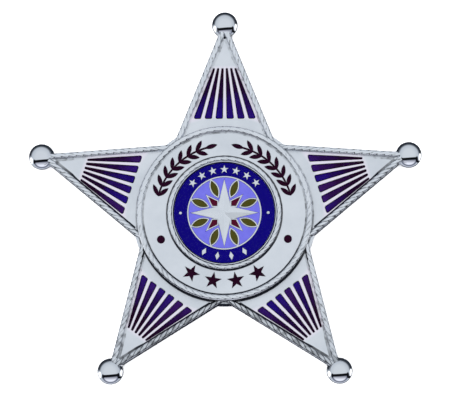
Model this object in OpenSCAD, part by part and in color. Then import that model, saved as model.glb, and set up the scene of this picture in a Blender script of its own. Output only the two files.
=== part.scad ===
// Five-point star badge with ball tips, enamel fans and a round enamelled seal
// Origin at the star's centre on its flat back, +Y to the top point, +Z out of the face

/* [Star] */
// Distance from the star's centre to the centre of each ball
star_reach = 37.5; // [35:0.5:44]
// Half of the angle that each point closes to
tip_half_angle = 22; // [20:0.5:24]
// Thickness of the plate in the flat fields of the points
plate_t = 1.5; // [1.2:0.1:2.2]
// Diameter of the ball on each point
ball_d = 5; // [4:0.1:6]
// Height of the balls' centres above the back
ball_z = 0.6; // [0.4:0.05:1]
// How far inside a ball the edges of its point meet, past the ball's centre
tip_in_ball = 0.7; // [0.3:0.1:1.2]

/* [Rope border] */
// Width of the rope along the edges of the points
rope_w = 1.1; // [0.9:0.05:1.4]
// Height of the rope's bed above the fields
rope_bed_h = 0.7; // [0.5:0.05:1]
// Height of the rope's strands above their bed
strand_h = 0.3; // [0.2:0.05:0.4]
// Spacing of the strands along the points and round the panel's ring
strand_pitch = 1.4; // [1.2:0.1:2]
// Spacing of the strands round the bezel
bezel_pitch = 1.1; // [1:0.05:1.4]
// Gap between neighbouring strands
strand_gap = 0.5; // [0.3:0.05:0.6]
// Slant of a strand from one side of its rope to the other
strand_slant = 0.7; // [0.3:0.05:0.9]
// Plain edge on each side of the strands
strand_edge = 0.1; // [0.05:0.01:0.15]

/* [Enamel fans] */
// Number of rays in the fan on each point
ray_count = 6; // [4:1:7]
// Distance from the ledge round the centre to the rays
ray_start = 1; // [0.8:0.1:2]
// Distance between the fan's outer rays and the rope, at the rays' wide ends
ray_side = 0.57; // [0.4:0.01:1]
// Gap between neighbouring rays at their wide ends
ray_gap_wide = 0.75; // [0.5:0.05:0.9]
// Gap between neighbouring rays at their narrow ends
ray_gap_narrow = 0.45; // [0.3:0.01:0.5]
// Distance from the field's tip to the point that the rays aim at
ray_aim = 0.65; // [0.4:0.05:1]
// Distance from that point to the rays' narrow ends
ray_stop = 5.9; // [5.4:0.1:7]
// Corner radius at the wide ends
ray_round = 0.28; // [0.1:0.02:0.36]

/* [Centre panel] */
// Outer radius of the ring round the panel
ring_r = 17; // [16:0.25:18]
// Width of that ring
ring_w = 1.1; // [0.9:0.05:1.4]
// Height of the panel's face above the fields of the points
panel_h = 1.5; // [1.2:0.1:2]
// Height of the ring's bed above the panel's face
ring_bed_h = 0.35; // [0.2:0.05:0.5]
// Width of the ledge at the ring's foot, which closes the notches of the star
ledge_w = 0.8; // [0.3:0.05:1]
// Outer radius of the rope bezel round the seal
bezel_r = 11; // [10.6:0.1:11.4]
// Width of the bezel
bezel_w = 0.85; // [0.7:0.05:1]
// Height of the bezel's bed above the panel's face
bezel_bed_h = 0.55; // [0.4:0.05:0.8]

/* [Panel enamel] */
// Plain metal left between the panel's enamel and the bezel
band_edge_in = 0.6; // [0.4:0.05:0.8]
// Plain metal left between the panel's enamel and the ring
band_edge_out = 1; // [0.8:0.05:1.2]
// Angle from the panel's top to the tip of each garland
garland_from = 8; // [6:1:12]
// Angle from the panel's top to the foot of each garland
garland_to = 75; // [60:1:80]
// Pairs of leaves on each garland
leaf_pairs = 7; // [5:1:8]
// Width of a leaf
leaf_w = 0.8; // [0.6:0.05:0.95]
// Width of the stem between the leaves
stem_w = 0.3; // [0.2:0.02:0.4]
// Angle of the leaves from their stem
leaf_turn = 38; // [34:1:42]
// Number of stars below the seal
low_stars = 4; // [3:1:5]
// Gap between the circles round those stars
low_star_gap = 1.16; // [0.6:0.02:1.5]
// Radius of the round dot on each side
side_dot_r = 0.75; // [0.5:0.05:0.9]
// Angle of the side dots below the panel's middle
side_dot_drop = 22.5; // [15:0.5:28]

/* [Seal] */
// Depth of the seal's seat below the panel's face
seat_depth = 0.6; // [0.4:0.05:0.9]
// Height of the seal's face above the panel's face
seal_face_h = 0.55; // [0.45:0.05:0.7]
// Height of the seal's outer lip above its face
lip_h = 0.35; // [0.25:0.05:0.5]
// Width of the lip's flat top
lip_top_w = 0.18; // [0.12:0.01:0.25]
// Width of the lip where it meets the seal's face
lip_w = 0.35; // [0.3:0.05:0.8]
// Width of the blue enamel ring
blue_w = 2.6; // [2.3:0.02:2.8]
// Width of the metal lines between the enamels
line_w = 0.24; // [0.16:0.02:0.3]
// Number of small stars in the upper part of the blue ring
ring_stars = 7; // [5:1:8]
// Blue enamel left between those stars and the ring's edges
ring_star_edge = 0.46; // [0.4:0.02:0.6]
// Gap between the circles round those stars
ring_star_gap = 0.6; // [0.4:0.02:0.8]
// Number of diamonds in the lower part of the blue ring
diamonds = 4; // [3:1:5]
// Blue enamel left between the diamonds and the ring's edges
diamond_edge = 0.5; // [0.4:0.02:0.7]
// Half width of a diamond
diamond_half_w = 0.42; // [0.3:0.02:0.55]
// Distance between the diamonds' middles
diamond_step = 2.7; // [2:0.1:3]
// Radius of the pin-head dots between the stars and the diamonds
pearl_r = 0.26; // [0.2:0.01:0.35]
// Distance from the long points of the rose to the picture's rim
rose_margin = 0.75; // [0.5:0.05:1]
// Distance from the middle to the corners between the long points
rose_waist = 1.7; // [1.4:0.05:1.9]
// Height of the rose's middle above the seal's face
rose_h = 0.45; // [0.3:0.05:0.6]
// Distance from the short enamel points to the picture's rim
short_margin = 2.6; // [2.4:0.1:3]
// Half width of a short point
short_half_w = 0.62; // [0.5:0.02:0.7]
// Distance from the middle to the roots of the small leaves
small_leaf_root = 3.45; // [3.3:0.05:4]
// Width of a small leaf
small_leaf_w = 1.2; // [0.9:0.05:1.3]
// Angle of the small leaves from the long points
small_leaf_at = 22; // [20:0.5:24]

/* [Enamel] */
// Depth of the pockets for the enamel
pocket_depth = 0.35; // [0.25:0.05:0.45]
// Gap between the enamel and the walls of its pocket
enamel_gap = 0.04; // [0.03:0.01:0.06]
// Gap under pieces that lie in or on the star
seat_gap = 0.04; // [0.03:0.01:0.06]

/* [Pin on the back] */
// Height of the pin's bar above the star's centre
pin_y = 8; // [6:0.5:9]
// Length of the bar
bar_l = 26; // [22:0.5:27]
// Width of the bar and its blocks
bar_w = 4.2; // [3.4:0.1:5]
// Thickness of the bar
bar_t = 0.7; // [0.5:0.05:1]
// Distance from the star's back to the feet of the two blocks
foot_drop = 3.1; // [2.8:0.1:3.6]
// Length of the hinge block
hinge_l = 4; // [3:0.1:5]
// Length of the catch block
catch_l = 3; // [2.4:0.1:4]
// Diameter of the pin's stem
stem_d = 1; // [0.8:0.05:1.2]
// Height of the stem's middle above the feet
stem_up = 1.1; // [1:0.05:1.3]

/* [Hidden] */
points = 5;
point_step = 360 / points;
corner_steps = 4;
small_star_half_angle = 19;
over = 1;

tip_r = star_reach + tip_in_ball;
field_tip_r = tip_r - rope_w / sin(tip_half_angle);
edge_l = tip_r * sin(point_step / 2) / sin(point_step / 2 + tip_half_angle);
rope_bed_z = plate_t + rope_bed_h;

ledge_r = ring_r + ledge_w;
panel_z = plate_t + panel_h;
ring_bed_z = panel_z + ring_bed_h;
bezel_bed_z = panel_z + bezel_bed_h;
seat_r = bezel_r - bezel_w;
seat_z = panel_z - seat_depth;

ray_x0 = ledge_r + ray_start;
aim_x = field_tip_r - ray_aim;
ray_x1 = aim_x - ray_stop;
fan_half_wide = (field_tip_r - ray_x0) * tan(tip_half_angle) - ray_side;
fan_half_narrow = fan_half_wide * ray_stop / (aim_x - ray_x0);
ray_w_wide = (2 * fan_half_wide - (ray_count - 1) * ray_gap_wide) / ray_count;
ray_w_narrow = (2 * fan_half_narrow - (ray_count - 1) * ray_gap_narrow) / ray_count;
ray_tip_round = 0.35 * ray_w_narrow;

band_r0 = bezel_r + band_edge_in;
band_r1 = ring_r - ring_w - band_edge_out;
band_mid = (band_r0 + band_r1) / 2;
band_half = (band_r1 - band_r0) / 2;
leaf_l = (band_half - leaf_w / 4 * cos(leaf_turn)) / sin(leaf_turn);
garland_step = (garland_to - garland_from) / (leaf_pairs + 1);
low_star_step = arc_angle(2 * band_half + low_star_gap, band_mid);

seal_r = seat_r - enamel_gap;
seal_z = panel_z + seal_face_h;
blue_r1 = seal_r - lip_w;
blue_r0 = blue_r1 - blue_w;
blue_mid = (blue_r0 + blue_r1) / 2;
ring_star_r = blue_w / 2 - ring_star_edge;
ring_star_step = arc_angle(2 * ring_star_r + ring_star_gap, blue_mid);
diamond_half_l = blue_w / 2 - diamond_edge;
picture_r = blue_r0 - line_w;
rose_reach = picture_r - rose_margin;
rose_corner = rose_waist * sin(45);
rose_edge = rose_reach * rose_corner / norm([rose_reach - rose_corner, rose_corner]);
short_reach = picture_r - short_margin;
small_leaf_l = picture_r - line_w - small_leaf_root;

function polar(r, a) = r * [cos(a), sin(a)];
function unit(v) = v / norm(v);
function arc_angle(l, r) = l / r * 180 / PI;

// Points of an arc that rounds corner p, between neighbours a and b of a convex outline
function corner_arc(a, p, b, r) =
    let (
        u = unit(a - p),
        v = unit(b - p),
        half = acos(u * v) / 2,
        middle = p + unit(u + v) * r / sin(half),
        start = p + u * r / tan(half) - middle,
        a0 = atan2(start[1], start[0])
    )
    [for (k = [0:corner_steps]) middle + polar(r, a0 + (180 - 2 * half) * k / corner_steps)];

module at_point(p) rotate(90 + (p - 1) * point_step) children();

// A star outline whose points are the given distance from the middle
module star_shape(reach, half_angle) {
    notch = reach * sin(half_angle) / sin(half_angle + point_step / 2);
    polygon([for (p = [0:points - 1]) each [
        polar(reach, p * point_step),
        polar(notch, (p + 0.5) * point_step)
    ]]);
}

// A small five-point star with one point along +Y, grown by g
module small_star(r, g) {
    rotate(90) star_shape(r + g / sin(small_star_half_angle), small_star_half_angle);
}

// A pointed oval along X, grown by g
module leaf(l, w, g) {
    r = (l * l + w * w) / (4 * w);
    intersection() {
        translate([0, r - w / 2]) circle(r = r + g, $fn = 96);
        translate([0, w / 2 - r]) circle(r = r + g, $fn = 96);
    }
}

// A diamond of the given half length and half width, grown by g
module diamond(l, w, g) {
    f = 1 + g * norm([l, w]) / (l * w);
    polygon([[l * f, 0], [0, w * f], [-l * f, 0], [0, -w * f]]);
}

// A kite along X with a square corner at its root, grown by g
module kite(root, reach, half_w, g) {
    t = atan(half_w / (reach - root - half_w));
    x0 = root - g * sqrt(2);
    x1 = reach + g / sin(t);
    xm = (x0 + x1 * tan(t)) / (1 + tan(t));
    polygon([[x0, 0], [xm, x0 - xm], [x1, 0], [xm, xm - x0]]);
}

// The strands of the rope on one edge of a point, with the rope below the X axis
module edge_strands() {
    count = floor(edge_l / strand_pitch);
    half = (strand_pitch - strand_gap) / 2;
    v0 = strand_edge - rope_w;
    v1 = -strand_edge;
    for (k = [1:count - 1]) {
        u = -k * strand_pitch;
        polygon([
            [u - half - strand_slant / 2, v0],
            [u + half - strand_slant / 2, v0],
            [u + half + strand_slant / 2, v1],
            [u - half + strand_slant / 2, v1]
        ]);
    }
}

// The strands of a round rope between two radii
module ring_strands(r0, r1, pitch) {
    middle = (r0 + r1) / 2;
    count = round(2 * PI * middle / pitch);
    half = arc_angle(pitch - strand_gap, middle) / 2;
    slant = arc_angle(strand_slant, middle) / 2;
    for (k = [0:count - 1]) {
        a = k * 360 / count;
        polygon([
            polar(r0, a - half - slant),
            polar(r0, a + half - slant),
            polar(r1, a + half + slant),
            polar(r1, a - half + slant)
        ]);
    }
}

module rope_border() {
    linear_extrude(rope_bed_z) difference() {
        rotate(90) star_shape(tip_r, tip_half_angle);
        rotate(90) star_shape(field_tip_r, tip_half_angle);
    }
    for (p = [1:points], side = [-1, 1]) at_point(p)
        translate([tip_r, 0, plate_t]) rotate(-side * tip_half_angle)
            mirror([0, side < 0 ? 1 : 0, 0])
                linear_extrude(rope_bed_h + strand_h) edge_strands();
}

module round_rope(r, w, bed_z, pitch) {
    difference() {
        cylinder(r = r, h = bed_z, $fn = 96);
        translate([0, 0, -over]) cylinder(r = r - w, h = bed_z + 2 * over, $fn = 96);
    }
    translate([0, 0, panel_z]) linear_extrude(bed_z - panel_z + strand_h)
        ring_strands(r - w + strand_edge, r - strand_edge, pitch);
}

// One ray of a fan, with the point's axis along X, grown all round by g
module ray_shape(k, g) {
    y0 = (ray_w_wide + ray_gap_wide) * (k - 1) - fan_half_wide;
    n0 = (ray_w_narrow + ray_gap_narrow) * (k - 1) - fan_half_narrow;
    a = [ray_x0 - g, y0 - g];
    b = [ray_x1 + g, n0 - g];
    c = [ray_x1 + g, n0 + ray_w_narrow + g];
    d = [ray_x0 - g, y0 + ray_w_wide + g];
    polygon(concat(
        corner_arc(d, a, b, ray_round + g),
        corner_arc(a, b, c, ray_tip_round + g),
        corner_arc(b, c, d, ray_tip_round + g),
        corner_arc(c, d, a, ray_round + g)
    ));
}

// One leaf that springs from the stem at the given step, turned outwards from it
module stem_leaf(k, turn, g) {
    rotate(90 - garland_to + k * garland_step) translate([band_mid, 0])
        rotate(90 + turn) translate([leaf_l / 2, 0]) leaf(leaf_l, leaf_w, g);
}

// The garland to the right of the panel's top, grown by g
module garland_shape(g) {
    stem_r1 = band_mid + stem_w / 2 + g;
    foot_angle = 90 - garland_to - arc_angle(g, band_mid);
    intersection() {
        difference() {
            circle(r = stem_r1, $fn = 96);
            circle(r = stem_r1 - stem_w - 2 * g, $fn = 96);
        }
        polygon([
            [0, 0],
            polar(2 * stem_r1, foot_angle),
            polar(2 * stem_r1, 90 - garland_from - 0.6 * garland_step)
        ]);
    }
    for (k = [0:leaf_pairs - 1], side = [-1, 1]) stem_leaf(k, side * leaf_turn, g);
    stem_leaf(leaf_pairs, 0, g);
}

module low_star_shape(k, g) {
    a = (k - (low_stars + 1) / 2) * low_star_step;
    rotate(a) translate([0, -band_mid]) small_star(band_half, g);
}

// The dot on one side of the panel, with side 1 to the right
module side_dot_shape(side, g) {
    a = -side_dot_drop;
    mirror([side < 0 ? 1 : 0, 0]) translate(polar(band_mid, a))
        circle(r = side_dot_r + g, $fn = 32);
}

// The metal figures that stand in the blue ring, grown by g
module ring_figures(g) {
    for (k = [1:ring_stars])
        rotate((k - (ring_stars + 1) / 2) * ring_star_step)
            translate([0, blue_mid]) small_star(ring_star_r, g);
    for (k = [1:diamonds])
        rotate((k - (diamonds + 1) / 2) * arc_angle(diamond_step, blue_mid) - 90)
            translate([blue_mid, 0]) diamond(diamond_half_l, diamond_half_w, g);
    for (side = [-1, 1])
        translate([side * blue_mid, 0]) circle(r = pearl_r + g, $fn = 24);
}

// The four-point outline of the rose, grown by g
module rose_shape(g) {
    f = 1 + g / rose_edge;
    polygon([for (k = [0:3]) each [
        polar(rose_reach * f, k * 90),
        polar(rose_waist * f, k * 90 + 45)
    ]]);
}

// The short points between the long ones, grown by g
module short_shape(g) {
    for (k = [0:3]) rotate(k * 90 + 45)
        kite(rose_waist + line_w, short_reach, short_half_w, g);
}

// The leaves on both sides of each long point, grown by g
module small_leaf_shape(g) {
    for (k = [0:3], side = [-1, 1])
        rotate(k * 90 + side * small_leaf_at)
            translate([small_leaf_root + small_leaf_l / 2, 0])
                leaf(small_leaf_l, small_leaf_w, g);
}

// The faceted middle of the rose, with a ridge along each long point
module rose_facets() {
    rim = [for (k = [0:3]) each [
        [rose_reach * cos(k * 90), rose_reach * sin(k * 90), seal_z],
        [rose_waist * cos(k * 90 + 45), rose_waist * sin(k * 90 + 45), seal_z]
    ]];
    top = [0, 0, seal_z + rose_h];
    foot = [0, 0, seal_z - pocket_depth];
    polyhedron(
        points = concat(rim, [top, foot]),
        faces = [for (k = [0:7]) each [[(k + 1) % 8, k, 8], [k, (k + 1) % 8, 9]]]
    );
}

// Enamel that fills a pocket up to the metal's face at height z
module enamel(z) {
    translate([0, 0, z - pocket_depth + seat_gap])
        linear_extrude(pocket_depth - seat_gap) children();
}

// The space cut out of the metal for that enamel
module pocket(z) {
    translate([0, 0, z - pocket_depth]) linear_extrude(pocket_depth + over) children();
}

module star_body() {
    color("gainsboro") difference() {
        union() {
            linear_extrude(plate_t) rotate(90) star_shape(tip_r, tip_half_angle);
            cylinder(r = ledge_r, h = plate_t, $fn = 96);
            cylinder(r = ring_r, h = panel_z, $fn = 96);
            rope_border();
            round_rope(ring_r, ring_w, ring_bed_z, strand_pitch);
            round_rope(bezel_r, bezel_w, bezel_bed_z, bezel_pitch);
            for (p = [1:points]) at_point(p)
                translate([star_reach, 0, ball_z]) sphere(d = ball_d, $fn = 64);
        }
        for (p = [1:points], k = [1:ray_count])
            pocket(plate_t) at_point(p) ray_shape(k, enamel_gap);
        for (side = [0, 1])
            pocket(panel_z) mirror([side, 0]) garland_shape(enamel_gap);
        for (k = [1:low_stars]) pocket(panel_z) low_star_shape(k, enamel_gap);
        for (side = [-1, 1]) pocket(panel_z) side_dot_shape(side, enamel_gap);
        translate([0, 0, seat_z]) cylinder(r = seat_r, h = seat_depth + 2 * over, $fn = 96);
    }
}

module ray(p, k) {
    color("midnightblue") enamel(plate_t) at_point(p) ray_shape(k, 0);
}

module garland(side) {
    color([0.14, 0.02, 0.1]) enamel(panel_z) mirror([side, 0]) garland_shape(0);
}

module low_star(k) {
    color([0.14, 0.02, 0.1]) enamel(panel_z) low_star_shape(k, 0);
}

module side_dot(side) {
    color([0.14, 0.02, 0.1]) enamel(panel_z) side_dot_shape(side, 0);
}

module seal_disc() {
    color("silver") {
        difference() {
            translate([0, 0, seat_z + seat_gap])
                cylinder(r = seal_r, h = seal_z + lip_h - seat_z - seat_gap, $fn = 96);
            translate([0, 0, seal_z]) cylinder(
                r1 = blue_r1,
                r2 = seal_r - lip_top_w,
                h = lip_h,
                $fn = 96
            );
            pocket(seal_z) difference() {
                circle(r = blue_r1, $fn = 96);
                circle(r = blue_r0, $fn = 96);
                ring_figures(0);
            }
            pocket(seal_z) difference() {
                circle(r = picture_r, $fn = 96);
                rose_shape(line_w / 3);
                short_shape(line_w);
                small_leaf_shape(line_w);
            }
            pocket(seal_z) short_shape(enamel_gap);
            pocket(seal_z) small_leaf_shape(enamel_gap);
        }
        rose_facets();
    }
}

module blue_ring() {
    color("navy") enamel(seal_z) difference() {
        circle(r = blue_r1 - enamel_gap, $fn = 96);
        circle(r = blue_r0 + enamel_gap, $fn = 96);
        ring_figures(enamel_gap);
    }
}

module rose_ground() {
    color("mediumslateblue") enamel(seal_z) difference() {
        circle(r = picture_r - enamel_gap, $fn = 96);
        rose_shape(line_w / 3 + enamel_gap);
        short_shape(line_w + enamel_gap);
        small_leaf_shape(line_w + enamel_gap);
    }
}

module short_points() {
    color("maroon") enamel(seal_z) short_shape(0);
}

module small_leaves() {
    color("darkolivegreen") enamel(seal_z) small_leaf_shape(0);
}

// Bar, hinge block, catch block and stem, all one piece
module pin_back() {
    color("darkgray") translate([0, pin_y, -foot_drop]) {
        translate([-bar_l / 2, -bar_w / 2, foot_drop - seat_gap - bar_t])
            cube([bar_l, bar_w, bar_t]);
        translate([bar_l / 2 - hinge_l, -bar_w / 2, 0])
            cube([hinge_l, bar_w, foot_drop - seat_gap - bar_t / 2]);
        translate([-bar_l / 2, -bar_w / 2, 0])
            cube([catch_l, bar_w, foot_drop - seat_gap - bar_t / 2]);
        translate([catch_l / 2 - bar_l / 2, 0, stem_up]) rotate([0, 90, 0])
            cylinder(d = stem_d, h = bar_l - catch_l / 2 - hinge_l / 2, $fn = 24);
    }
}

star_body();
for (p = [1:points], k = [1:ray_count])
    ray(p, k);
garland(1);  // garland_left
garland(0);  // garland_right
for (k = [1:low_stars])
    low_star(k);
side_dot(-1);  // side_dot_left
side_dot(1);  // side_dot_right
seal_disc();
blue_ring();
rose_ground();
short_points();
small_leaves();
pin_back();
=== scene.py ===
import math
import random
from functools import partial

import bmesh
import bpy
from mathutils import Matrix, Vector
from mathutils.geometry import delaunay_2d_cdt


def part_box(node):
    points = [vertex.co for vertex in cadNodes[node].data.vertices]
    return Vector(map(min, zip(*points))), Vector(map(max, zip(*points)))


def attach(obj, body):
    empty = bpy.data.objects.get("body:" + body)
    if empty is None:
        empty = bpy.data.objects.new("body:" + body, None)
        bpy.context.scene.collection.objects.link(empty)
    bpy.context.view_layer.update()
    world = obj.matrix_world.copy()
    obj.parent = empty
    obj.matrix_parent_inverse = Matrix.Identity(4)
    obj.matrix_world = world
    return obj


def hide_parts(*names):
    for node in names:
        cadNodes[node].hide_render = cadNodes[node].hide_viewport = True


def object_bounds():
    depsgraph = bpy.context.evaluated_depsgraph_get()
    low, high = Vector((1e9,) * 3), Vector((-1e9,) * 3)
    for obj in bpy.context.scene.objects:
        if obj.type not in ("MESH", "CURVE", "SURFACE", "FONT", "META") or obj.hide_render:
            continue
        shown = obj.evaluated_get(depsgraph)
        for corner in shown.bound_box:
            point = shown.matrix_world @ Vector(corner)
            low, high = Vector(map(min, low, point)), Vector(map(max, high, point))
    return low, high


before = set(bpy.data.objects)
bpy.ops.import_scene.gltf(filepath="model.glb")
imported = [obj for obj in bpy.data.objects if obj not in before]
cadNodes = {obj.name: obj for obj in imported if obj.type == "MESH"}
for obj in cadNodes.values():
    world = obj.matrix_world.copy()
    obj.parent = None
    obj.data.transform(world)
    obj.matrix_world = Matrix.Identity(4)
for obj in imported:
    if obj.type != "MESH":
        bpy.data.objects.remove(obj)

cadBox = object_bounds()
mm = 0.001
turn = 2 * math.pi
points = 5
pointStep = turn / points
starTop = math.radians(90)  # the first point stands straight up

shot = {
    "pitch": 8.5,  # degrees below the badge's axis
    "yaw": 2.0,  # degrees to the right of it
    "distance": 0.6,
    "target": (0.00003, 0.00293, 0.0006),
    "pixelsPerMm": 5.158,
    "imageWidth": 450,
    "sensor": 36.0,
    "clip": (0.01, 20),
}


def addObject(name, data):
    thing = bpy.data.objects.new(name, data)
    bpy.context.scene.collection.objects.link(thing)
    return thing


def addCamera():
    pitch, yaw = math.radians(shot["pitch"]), math.radians(shot["yaw"])
    back = Vector((math.sin(yaw), -math.sin(pitch) * math.cos(yaw), math.cos(pitch) * math.cos(yaw)))
    right = Vector((0, 1, 0)).cross(back).normalized()
    up = back.cross(right)
    data = bpy.data.cameras.new("badgeCamera")
    data.sensor_width = shot["sensor"]
    data.lens = shot["distance"] / mm * shot["pixelsPerMm"] * shot["sensor"] / shot["imageWidth"]
    data.clip_start, data.clip_end = shot["clip"]
    place = Matrix((right, up, back)).transposed().to_4x4()
    place.translation = Vector(shot["target"]) + back * shot["distance"]
    camera = addObject("badgeCamera", data)
    camera.matrix_world = place
    bpy.context.scene.camera = camera


addCamera()
print("camera set")


def clamp(value):
    return max(0, min(1, value))


def feed(tree, value, socket):
    # links an output to a socket, or sets a fixed value on it
    if isinstance(value, bpy.types.NodeSocket):
        tree.links.new(value, socket)
    elif socket.type == "RGBA":
        socket.default_value = (*value, 1)
    else:
        socket.default_value = value


def addNode(tree, kind, **values):
    node = tree.nodes.new(kind)
    for name, value in values.items():
        feed(tree, value, node.inputs[name])
    return node


def calc(tree, operation, *values, kind="ShaderNodeMath", output=0):
    node = tree.nodes.new(kind)
    node.operation = operation
    for socket, value in zip(node.inputs, values):
        feed(tree, value, socket)
    return node.outputs[output]


def lengthOf(tree, x, y):
    squares = calc(tree, "MULTIPLY", x, x), calc(tree, "MULTIPLY", y, y)
    return calc(tree, "SQRT", calc(tree, "ADD", *squares))


def remap(tree, value, low, high, to=(0, 1), smooth=False):
    node = addNode(tree, "ShaderNodeMapRange", **{
        "Value": value, "From Min": low, "From Max": high, "To Min": to[0], "To Max": to[1]})
    if smooth:
        node.interpolation_type = "SMOOTHSTEP"
    return node.outputs[0]


def ramp(tree, value, stops):
    # stops are (place, grey)
    node = tree.nodes.new("ShaderNodeValToRGB")
    while len(node.color_ramp.elements) < len(stops):
        node.color_ramp.elements.new(0.5)
    for element, (place, grey) in zip(node.color_ramp.elements, stops):
        element.position = place
        element.color = (grey, grey, grey, 1)
    feed(tree, value, node.inputs[0])
    return node.outputs[0]


def mixColour(tree, share, a, b):
    node = tree.nodes.new("ShaderNodeMix")
    node.data_type = "RGBA"
    for place, value in ((0, share), (6, a), (7, b)):
        feed(tree, value, node.inputs[place])
    return node.outputs[2]


noiseRoughness = 0.55
bumpDistance = 0.02 * mm


def noise(tree, coords, scale, detail):
    return addNode(tree, "ShaderNodeTexNoise", Vector=coords, Scale=scale, Detail=detail,
                   Roughness=noiseRoughness).outputs[0]


def newMaterial(name):
    material = bpy.data.materials.new(name)
    material.use_nodes = True
    tree = material.node_tree
    shader = tree.nodes["Principled BSDF"]
    coords = tree.nodes.new("ShaderNodeTexCoord").outputs["Object"]
    return material, tree, shader, coords


def addBump(tree, shader, height, strength):
    bump = addNode(tree, "ShaderNodeBump", Strength=strength, Distance=bumpDistance, Height=height)
    feed(tree, bump.outputs[0], shader.inputs["Normal"])


def attribute(tree, name):
    node = tree.nodes.new("ShaderNodeAttribute")
    node.attribute_name = name
    return node.outputs["Fac"]


def reachOf(tree, coords):
    # distance from the star's axis
    apart = addNode(tree, "ShaderNodeSeparateXYZ", Vector=coords)
    return lengthOf(tree, apart.outputs[0], apart.outputs[1])


finishes = {
    "satin": {"tint": (0.80, 0.82, 0.86), "dull": (0.72, 0.745, 0.79), "rough": (0.26, 0.36),
              "grain": 9000, "bump": 0.2,
              # the strips' tint is a painted reflection: lighter, and violet from the rays beside them
              "strips": {"tint": (0.93, 0.87, 0.95), "start": 19.6, "stop": 28.7, "fade": 0.7}},
    "bright": {"tint": (0.80, 0.82, 0.86), "dull": (0.73, 0.755, 0.80), "rough": (0.10, 0.18),
               "grain": 5000, "bump": 0.1},
    "mirror": {"tint": (0.76, 0.78, 0.815), "dull": (0.73, 0.75, 0.79), "rough": (0.02, 0.04),
               "grain": 1500, "bump": 0.02},
    "steel": {"tint": (0.62, 0.63, 0.65), "dull": (0.50, 0.51, 0.53), "rough": (0.28, 0.42),
              "grain": 6000, "bump": 0.3},
    "clouds": 160,  # 1 / size in metres of the dull patches
    "cloudStops": ((0.35, 0), (0.65, 1)),
}
# patina in the hollows together with painted shade: darker where a surface faces the foot, and by the lowest
# notch
patinaAndShade = {
    "colour": (0.007, 0.008, 0.012),
    "light": 0.28,  # share in grooves that face the top
    "deep": 1.0,  # share in grooves that face the foot
    "sides": 0.4,  # where the sides stand between these two
    "edgeShare": (0.62, 0.6),  # beside the border: its mean, and what the way the edge faces adds or takes as painted shade
    "edgePower": 1.5,
    "bezel": 0.95,  # least share beside the bezel
    "lip": 0.8,  # least share on the slope of the seal's lip
    "strands": 0.7,  # part of it that lies between the border's strands
    "ringStrands": 0.4,  # and between those of the ring and the bezel
    "edge": 0.34,  # width of the dark line of patina and painted shade beside the border, mm
    "tips": 0.14,  # what it gains near the tips
    "crease": 0.32,  # width of the dark lines round the panel, ring and bezel
    "full": 0.8,  # part of these widths before they fade
    "clean": 0.95,  # part of them past which the metal is clean
    "notch": (-4.5, -20),  # painted shadow: round this place, by the lowest notch, the walls are darkest
    "notchSize": 7,
    "notchFade": 2,
    "ledgeClear": 1.2,  # mm round that notch's middle where the ledge stays bright
    "ledgeFade": 1.5,
    "specks": 900,  # the patina and painted shade are uneven: 1 / size in metres
    "speckRange": (0.38, 0.62),
    "speckPowers": (0.5, 1.9),
    "hidesShine": 0.85,  # share from which it starts to hide the metal's shine
}


def silver(name, finish):
    material, tree, shader, coords = newMaterial(name)
    # the groove attribute holds patina together with painted shade; it darkens the colour and hides the
    # shine
    uneven = noise(tree, coords, patinaAndShade["specks"], 1)
    specks = remap(tree, uneven, *patinaAndShade["speckRange"], to=patinaAndShade["speckPowers"])
    groove = calc(tree, "POWER", attribute(tree, "groove"), specks)
    feed(tree, remap(tree, groove, 1, patinaAndShade["hidesShine"]), shader.inputs["Metallic"])
    shader.inputs["Specular IOR Level"].default_value = 0
    clouds = ramp(tree, noise(tree, coords, finishes["clouds"], 4), finishes["cloudStops"])
    clean = mixColour(tree, clouds, finish["dull"], finish["tint"])
    if "strips" in finish:  # painted reflection: the polished strips between the rays are painted lighter and take some of the rays' violet
        strips = finish["strips"]
        start, stop, fade = (strips[key] * mm for key in ("start", "stop", "fade"))
        reach = reachOf(tree, coords)
        fades = remap(tree, reach, start - fade, start), remap(tree, reach, stop + fade, stop)
        clean = mixColour(tree, calc(tree, "MULTIPLY", *fades), clean, strips["tint"])
    feed(tree, mixColour(tree, groove, clean, patinaAndShade["colour"]), shader.inputs["Base Color"])
    grain = noise(tree, coords, finish["grain"], 2)
    feed(tree, remap(tree, grain, 0, 1, finish["rough"]), shader.inputs["Roughness"])
    addBump(tree, shader, grain, finish["bump"])
    return material


def patinaAndShadeAt(spot):
    # painted shade: grooves on the top side get less of it than those towards the foot
    share = clamp(patinaAndShade["sides"] - math.sin(math.atan2(spot[1], spot[0])))
    return patinaAndShade["light"] + (patinaAndShade["deep"] - patinaAndShade["light"]) * share * share * (3 - 2 * share)


# painted shadow on the walls and ropes round the lowest notch
def notchShadow(spot):
    away = math.dist((spot[0], spot[1]), patinaAndShade["notch"])
    return clamp(1 - (away - patinaAndShade["notchSize"]) / patinaAndShade["notchFade"])


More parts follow.
